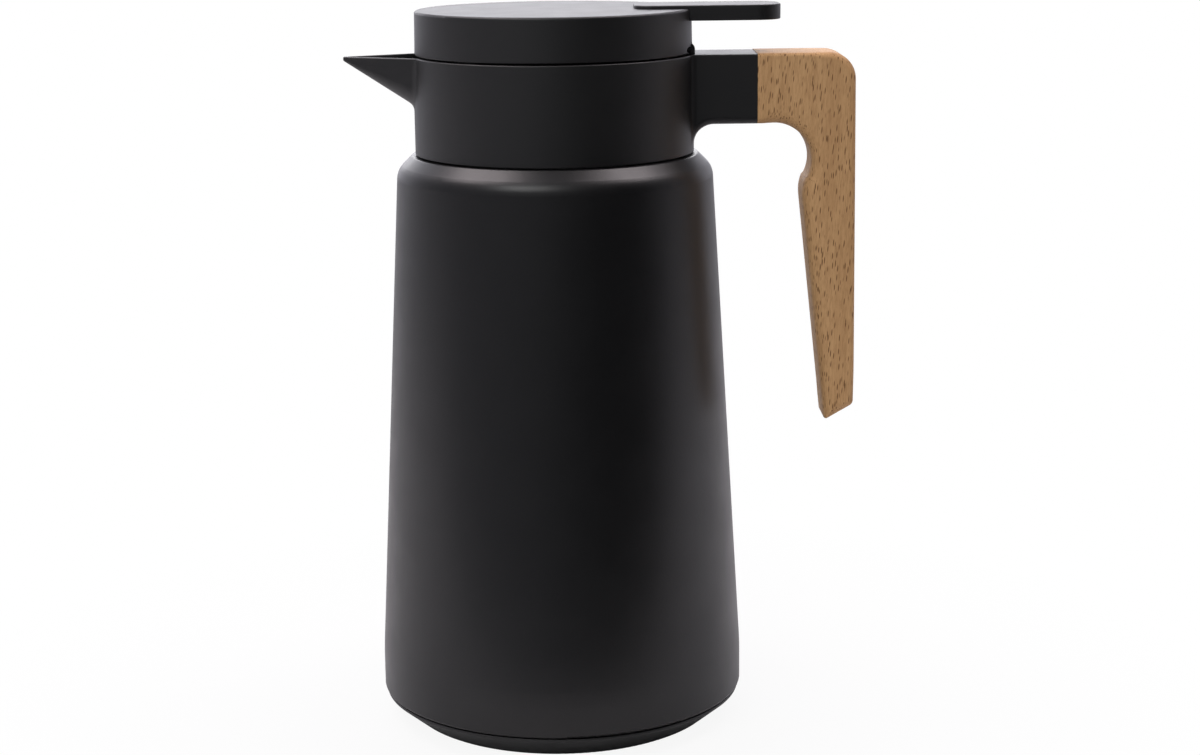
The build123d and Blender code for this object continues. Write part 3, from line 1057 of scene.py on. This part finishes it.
    def rings(self) -> list[list[Vector]]:
        """Outline rings from the near side face round the edge to the far side face.

        Returns:
            One list of places per ring, each as long as the outline.
        """
        outline = self.outline()
        columns = []
        for point in outline:
            column = [(point.edge + self.face_margin, self.half_width)]
            for step in range(self.edge_steps, -1, -1):
                angle = step / self.edge_steps * math.pi / 2
                drop = point.edge * (1 - math.sin(angle))
                column.append((point.edge * (1 - math.cos(angle)), self.half_width - drop))
            columns.append([(point.at(depth), height) for depth, height in column])
        near = [
            [Vector((place.x, -height, place.y)) for place, height in ring]
            for ring in zip(*columns)
        ]
        far = [[Vector((place.x, -place.y, place.z)) for place in ring] for ring in reversed(near)]
        return near + far

    def build(self) -> bpy.types.Object:
        """Extrude a disc ring by ring, set its rings on the outline and pull out the tenon.

        Returns:
            The grip.
        """
        rings = self.rings()
        count = len(rings[0])
        bpy.ops.mesh.primitive_circle_add(vertices=count, radius=1, fill_type="NGON")
        grip = bpy.context.object
        bpy.ops.object.mode_set(mode="EDIT")
        for _ in rings[1:]:
            bpy.ops.mesh.extrude_region_move(TRANSFORM_OT_translate={"value": (0, 0, 1)})
        mesh = bmesh.from_edit_mesh(grip.data)
        mesh.verts.ensure_lookup_table()
        first = math.atan2(mesh.verts[0].co.y, mesh.verts[0].co.x)
        for vertex in mesh.verts:
            turn = (math.atan2(vertex.co.y, vertex.co.x) - first) / math.tau
            vertex.co = rings[round(vertex.co.z)][round(turn * count) % count]
        bmesh.update_edit_mesh(grip.data)
        bpy.ops.mesh.select_all(action="SELECT")
        bpy.ops.mesh.remove_doubles(threshold=self.merge)
        self.pull_tenon(grip)
        bpy.ops.mesh.select_all(action="SELECT")
        bpy.ops.mesh.normals_make_consistent(inside=False)
        bpy.ops.object.mode_set(mode="OBJECT")
        return grip

    def pull_tenon(self, grip: bpy.types.Object) -> None:
        """Make the joint one face, inset it and extrude it into the arm.

        Args:
            grip: The grip in edit mode.
        """
        pick(grip, lambda place: abs(place.x - self.joint_x) < NEAR, Pick.FACES)
        bpy.ops.mesh.dissolve_faces()
        bpy.ops.mesh.inset(thickness=self.tenon_margin)
        into_arm = (-self.tenon_length, 0, 0)
        bpy.ops.mesh.extrude_region_move(TRANSFORM_OT_translate={"value": into_arm})


# ------------------------------------------------------------------ sub-assemblies


@dataclass(frozen=True)
class Flask:
    """Double-walled steel flask with its foot and the thread on its neck."""

    thread: ScrewThread = ScrewThread(root_r=41.0 * MM, crest_r=41.45 * MM, foot_z=241.4 * MM)

    def model(self, shelf: Shelf) -> None:
        """Roll the thread into the neck.

        Args:
            shelf: One finished material per slot.
        """
        hand_over(self.thread.build(), "neck_thread", Body.FLASK, Slot.STEEL, shelf)

    def dress(self, nodes: Nodes, shelf: Shelf) -> None:
        """Finish the CAD nodes of the flask.

        Args:
            nodes: CAD nodes by name.
            shelf: One finished material per slot.
        """
        finishes = {
            Slot.SHELL: ("outer_shell",),
            Slot.STEEL: (
                "neck_flange", "neck_sleeve", "inner_liner",
                "bottom_plate", "vacuum_seal", "getter",
            ),
            Slot.MOULDING: ("base_cap",),
            Slot.SILICONE: ("foot_ring",),
        }
        dress_nodes(nodes, shelf, finishes, Body.FLASK)


@dataclass(frozen=True)
class Top:
    """Pieces that unscrew together: collar with spout and arm, insert, threaded skirt and grip."""

    thread: ScrewThread = ScrewThread(root_r=42.0 * MM, crest_r=41.55 * MM, foot_z=243.1 * MM)
    grip: Grip = Grip()

    def model(self, shelf: Shelf) -> None:
        """Model the skirt's thread and the grip.

        Args:
            shelf: One finished material per slot.
        """
        hand_over(self.thread.build(), "skirt_thread", Body.TOP, Slot.MOULDING, shelf)
        grip = self.grip.build()
        hand_over(grip, "rounded_grip", Body.TOP, Slot.BEECH, shelf)
        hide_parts("handle_grip")

    def dress(self, nodes: Nodes, shelf: Shelf) -> None:
        """Finish the CAD nodes of the top.

        Args:
            nodes: CAD nodes by name.
            shelf: One finished material per slot.
        """
        finishes = {
            Slot.MOULDING: ("collar", "pouring_insert", "thread_ring"),
            Slot.SILICONE: ("neck_gasket", "collar_seal"),
            Slot.BEECH: ("handle_grip",),
            Slot.BRASS: ("handle_inserts",),
            Slot.STEEL: ("handle_bolts", "hinge_pin"),
        }
        dress_nodes(nodes, shelf, finishes, Body.TOP)


@dataclass(frozen=True)
class Lid:
    """Hinged lid: cap, thumb lever, underside with its stopper and the foam core."""

    def dress(self, nodes: Nodes, shelf: Shelf) -> None:
        """Finish the CAD nodes of the lid.

        Args:
            nodes: CAD nodes by name.
            shelf: One finished material per slot.
        """
        finishes = {
            Slot.MOULDING: ("lid_cap", "thumb_lever", "lid_base"),
            Slot.SILICONE: ("stopper_gasket",),
            Slot.FOAM: ("lid_insulation",),
            Slot.STEEL: ("lid_screws", "lever_screws"),
        }
        dress_nodes(nodes, shelf, finishes, Body.LID)


# ------------------------------------------------------------------ studio


@dataclass(frozen=True)
class SoftBox:
    """Rectangular soft lamp that faces a point."""

    name: str
    place: Triple
    size: Span
    watts: float
    tint: Colour = (1.0, 1.0, 1.0)
    aim: Triple = (0.0, 0.0, 0.16)
    mirrored: bool = True

    def build(self) -> bpy.types.Object:
        """Add the lamp.

        Returns:
            The lamp object.
        """
        bpy.ops.object.light_add(type="AREA", location=self.place)
        lamp = bpy.context.object
        lamp.name = self.name
        lamp.data.shape = "RECTANGLE"
        lamp.data.size, lamp.data.size_y = self.size
        lamp.data.energy = self.watts
        lamp.data.color = self.tint
        towards = Vector(self.aim) - Vector(self.place)
        lamp.rotation_euler = towards.to_track_quat("-Z", "Y").to_euler()
        lamp.visible_camera = False
        lamp.visible_glossy = self.mirrored
        return lamp


@dataclass(frozen=True)
class Surround:
    """White cyclorama behind, grey flats at the sides and a dark room in front."""

    tint: Colour = (1.0, 0.985, 1.09)
    # Bearing in degrees, 0 towards the viewer and 180 straight behind, negative on the spout's
    # side, with the brightness of the surround there.
    bearings: tuple[Span, ...] = (
        (-180, 1.62), (-160, 1.60), (-134, 0.95), (-112, 0.36), (-88, 0.30), (-60, 0.29),
        (-42, 0.26), (-24, 0.21), (-7, 0.14), (10, 0.08), (28, 0.02), (68, 0.01),
        (80, 0.16), (90, 0.36), (108, 0.38), (132, 1.00), (160, 1.05), (180, 1.62),
    )

    def background(self, tree: NodeTree) -> bpy.types.Node:
        """Add a plain white background shader."""
        node = tree.add("ShaderNodeBackground")
        node.inputs["Color"].default_value = (1, 1, 1, 1)
        return node

    def build(self) -> None:
        """Set up the world: white to the camera, the surround for every other ray."""
        world = bpy.data.worlds.new("surround")
        bpy.context.scene.world = world
        tree = NodeTree.of(world)
        direction = tree.add("ShaderNodeSeparateXYZ")
        tree.link(tree.add("ShaderNodeTexCoord").outputs["Generated"], direction.inputs[0])
        towards = tree.calculate("MULTIPLY", direction.outputs["Y"], -1.0)
        bearing = tree.calculate("ARCTAN2", direction.outputs["X"], towards)
        turn = tree.map_range(bearing, (-math.pi, math.pi), (0.0, 1.0))
        stops = [
            ((degrees + 180) / 360, tuple(brightness * channel for channel in self.tint))
            for degrees, brightness in self.bearings
        ]
        around = self.background(tree)
        tree.link(tree.ramp(turn, stops, "EASE"), around.inputs["Color"])
        seen = tree.add("ShaderNodeLightPath").outputs["Is Camera Ray"]
        tree.close(tree.either(seen, around.outputs[0], self.background(tree).outputs[0]))


@dataclass(frozen=True)
class Floor:
    """Pale floor: white to the camera, apart from the shadow round the object."""

    x: Span = (-2.0, 2.0)
    y: Span = (-0.17, 3.0)
    z: float = -0.1 * MM
    grey: Colour = (0.66, 0.66, 0.66)
    shadow_reach: Span = (0.10, 0.30)
    white_share: Span = (0.91, 1.0)

    def material(self) -> bpy.types.Material:
        """Build the floor's material.

        Returns:
            A matt grey that turns white to the camera, the more so the farther from the axis.
        """
        tree = NodeTree.new("pale_floor")
        matt = tree.add("ShaderNodeBsdfDiffuse")
        matt.inputs["Color"].default_value = (*self.grey, 1.0)
        glow = tree.add("ShaderNodeEmission")
        glow.inputs["Strength"].default_value = 1.0
        from_axis = tree.add("ShaderNodeVectorMath", operation="LENGTH")
        tree.link(tree.place(), from_axis.inputs[0])
        white = tree.map_range(from_axis.outputs["Value"], self.shadow_reach, self.white_share)
        seen = tree.add("ShaderNodeLightPath").outputs["Is Camera Ray"]
        share = tree.calculate("MULTIPLY", seen, white)
        tree.close(tree.either(share, matt.outputs[0], glow.outputs[0]))
        return tree.owner

    def build(self) -> bpy.types.Object:
        """Add the floor.

        Returns:
            The floor object.
        """
        (x_low, x_high), (y_low, y_high) = self.x, self.y
        bpy.ops.mesh.primitive_plane_add(size=1)
        floor = bpy.context.object
        floor.name = "floor"
        floor.scale = (x_high - x_low, y_high - y_low, 1)
        floor.location = ((x_low + x_high) / 2, (y_low + y_high) / 2, self.z)
        bpy.ops.object.transform_apply(location=True, rotation=True, scale=True)
        floor.data.materials.append(self.material())
        return floor


@dataclass(frozen=True)
class Studio:
    """Camera, lamps, surround and floor."""

    camera_place: Triple = (0.0, -0.950, 0.3494)
    yaw: float = 0.0182
    pitch: float = 0.216
    roll: float = 0.011
    lens: float = 70.43
    sensor: float = 36.0
    surround: Surround = Surround()
    floor: Floor = Floor()
    lamps: tuple[SoftBox, ...] = (
        SoftBox("top_left", (-0.58, 0.10, 1.25), (0.50, 0.62), 7.0, (1.06, 0.955, 0.975)),
        SoftBox("top_right", (0.58, 0.10, 1.25), (0.44, 0.62), 5.8, (1.06, 0.955, 0.975)),
        SoftBox("front_fill", (-0.55, -1.15, 1.35), (0.9, 0.7), 9.0),
        SoftBox("back_strip", (-0.15, 2.2, 0.75), (1.8, 0.5), 9.0),
        SoftBox("soft_front", (-0.10, -1.60, 0.22), (1.2, 0.9), 8.6, mirrored=False),
    )

    def camera(self) -> bpy.types.Object:
        """Add the camera and make it the scene's.

        Returns:
            The camera object.
        """
        bpy.ops.object.camera_add(location=self.camera_place)
        camera = bpy.context.object
        camera.data.sensor_fit = "HORIZONTAL"
        camera.data.sensor_width = self.sensor
        camera.data.lens = self.lens
        turn = (
            Matrix.Rotation(-self.yaw, 4, "Z")
            @ Matrix.Rotation(math.pi / 2 - self.pitch, 4, "X")
            @ Matrix.Rotation(-self.roll, 4, "Z")
        )
        camera.matrix_world = Matrix.Translation(self.camera_place) @ turn
        bpy.context.scene.camera = camera
        return camera

    def build(self) -> None:
        """Set up the whole studio."""
        self.camera()
        self.floor.build()
        self.surround.build()
        for lamp in self.lamps:
            lamp.build()
        bpy.context.scene.view_settings.view_transform = "Standard"


def main() -> None:
    """Dress the carafe and light it."""
    logging.basicConfig(level=logging.INFO, format="%(name)s: %(message)s")
    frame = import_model()
    bpy.ops.object.select_all(action="DESELECT")
    finishes = {
        Slot.SHELL: PowderCoat(),
        Slot.STEEL: Steel(),
        Slot.MOULDING: Moulding(),
        Slot.BEECH: Beech(),
        Slot.SILICONE: Silicone(),
        Slot.BRASS: Brass(),
        Slot.FOAM: Foam(),
    }
    shelf = {slot: finish.material() for slot, finish in finishes.items()}
    flask, top, lid = Flask(), Top(), Lid()
    flask.model(shelf)
    top.model(shelf)
    for assembly in (flask, top, lid):
        assembly.dress(frame["nodes"], shelf)
    Studio().build()


if __name__ == "__main__":
    main()
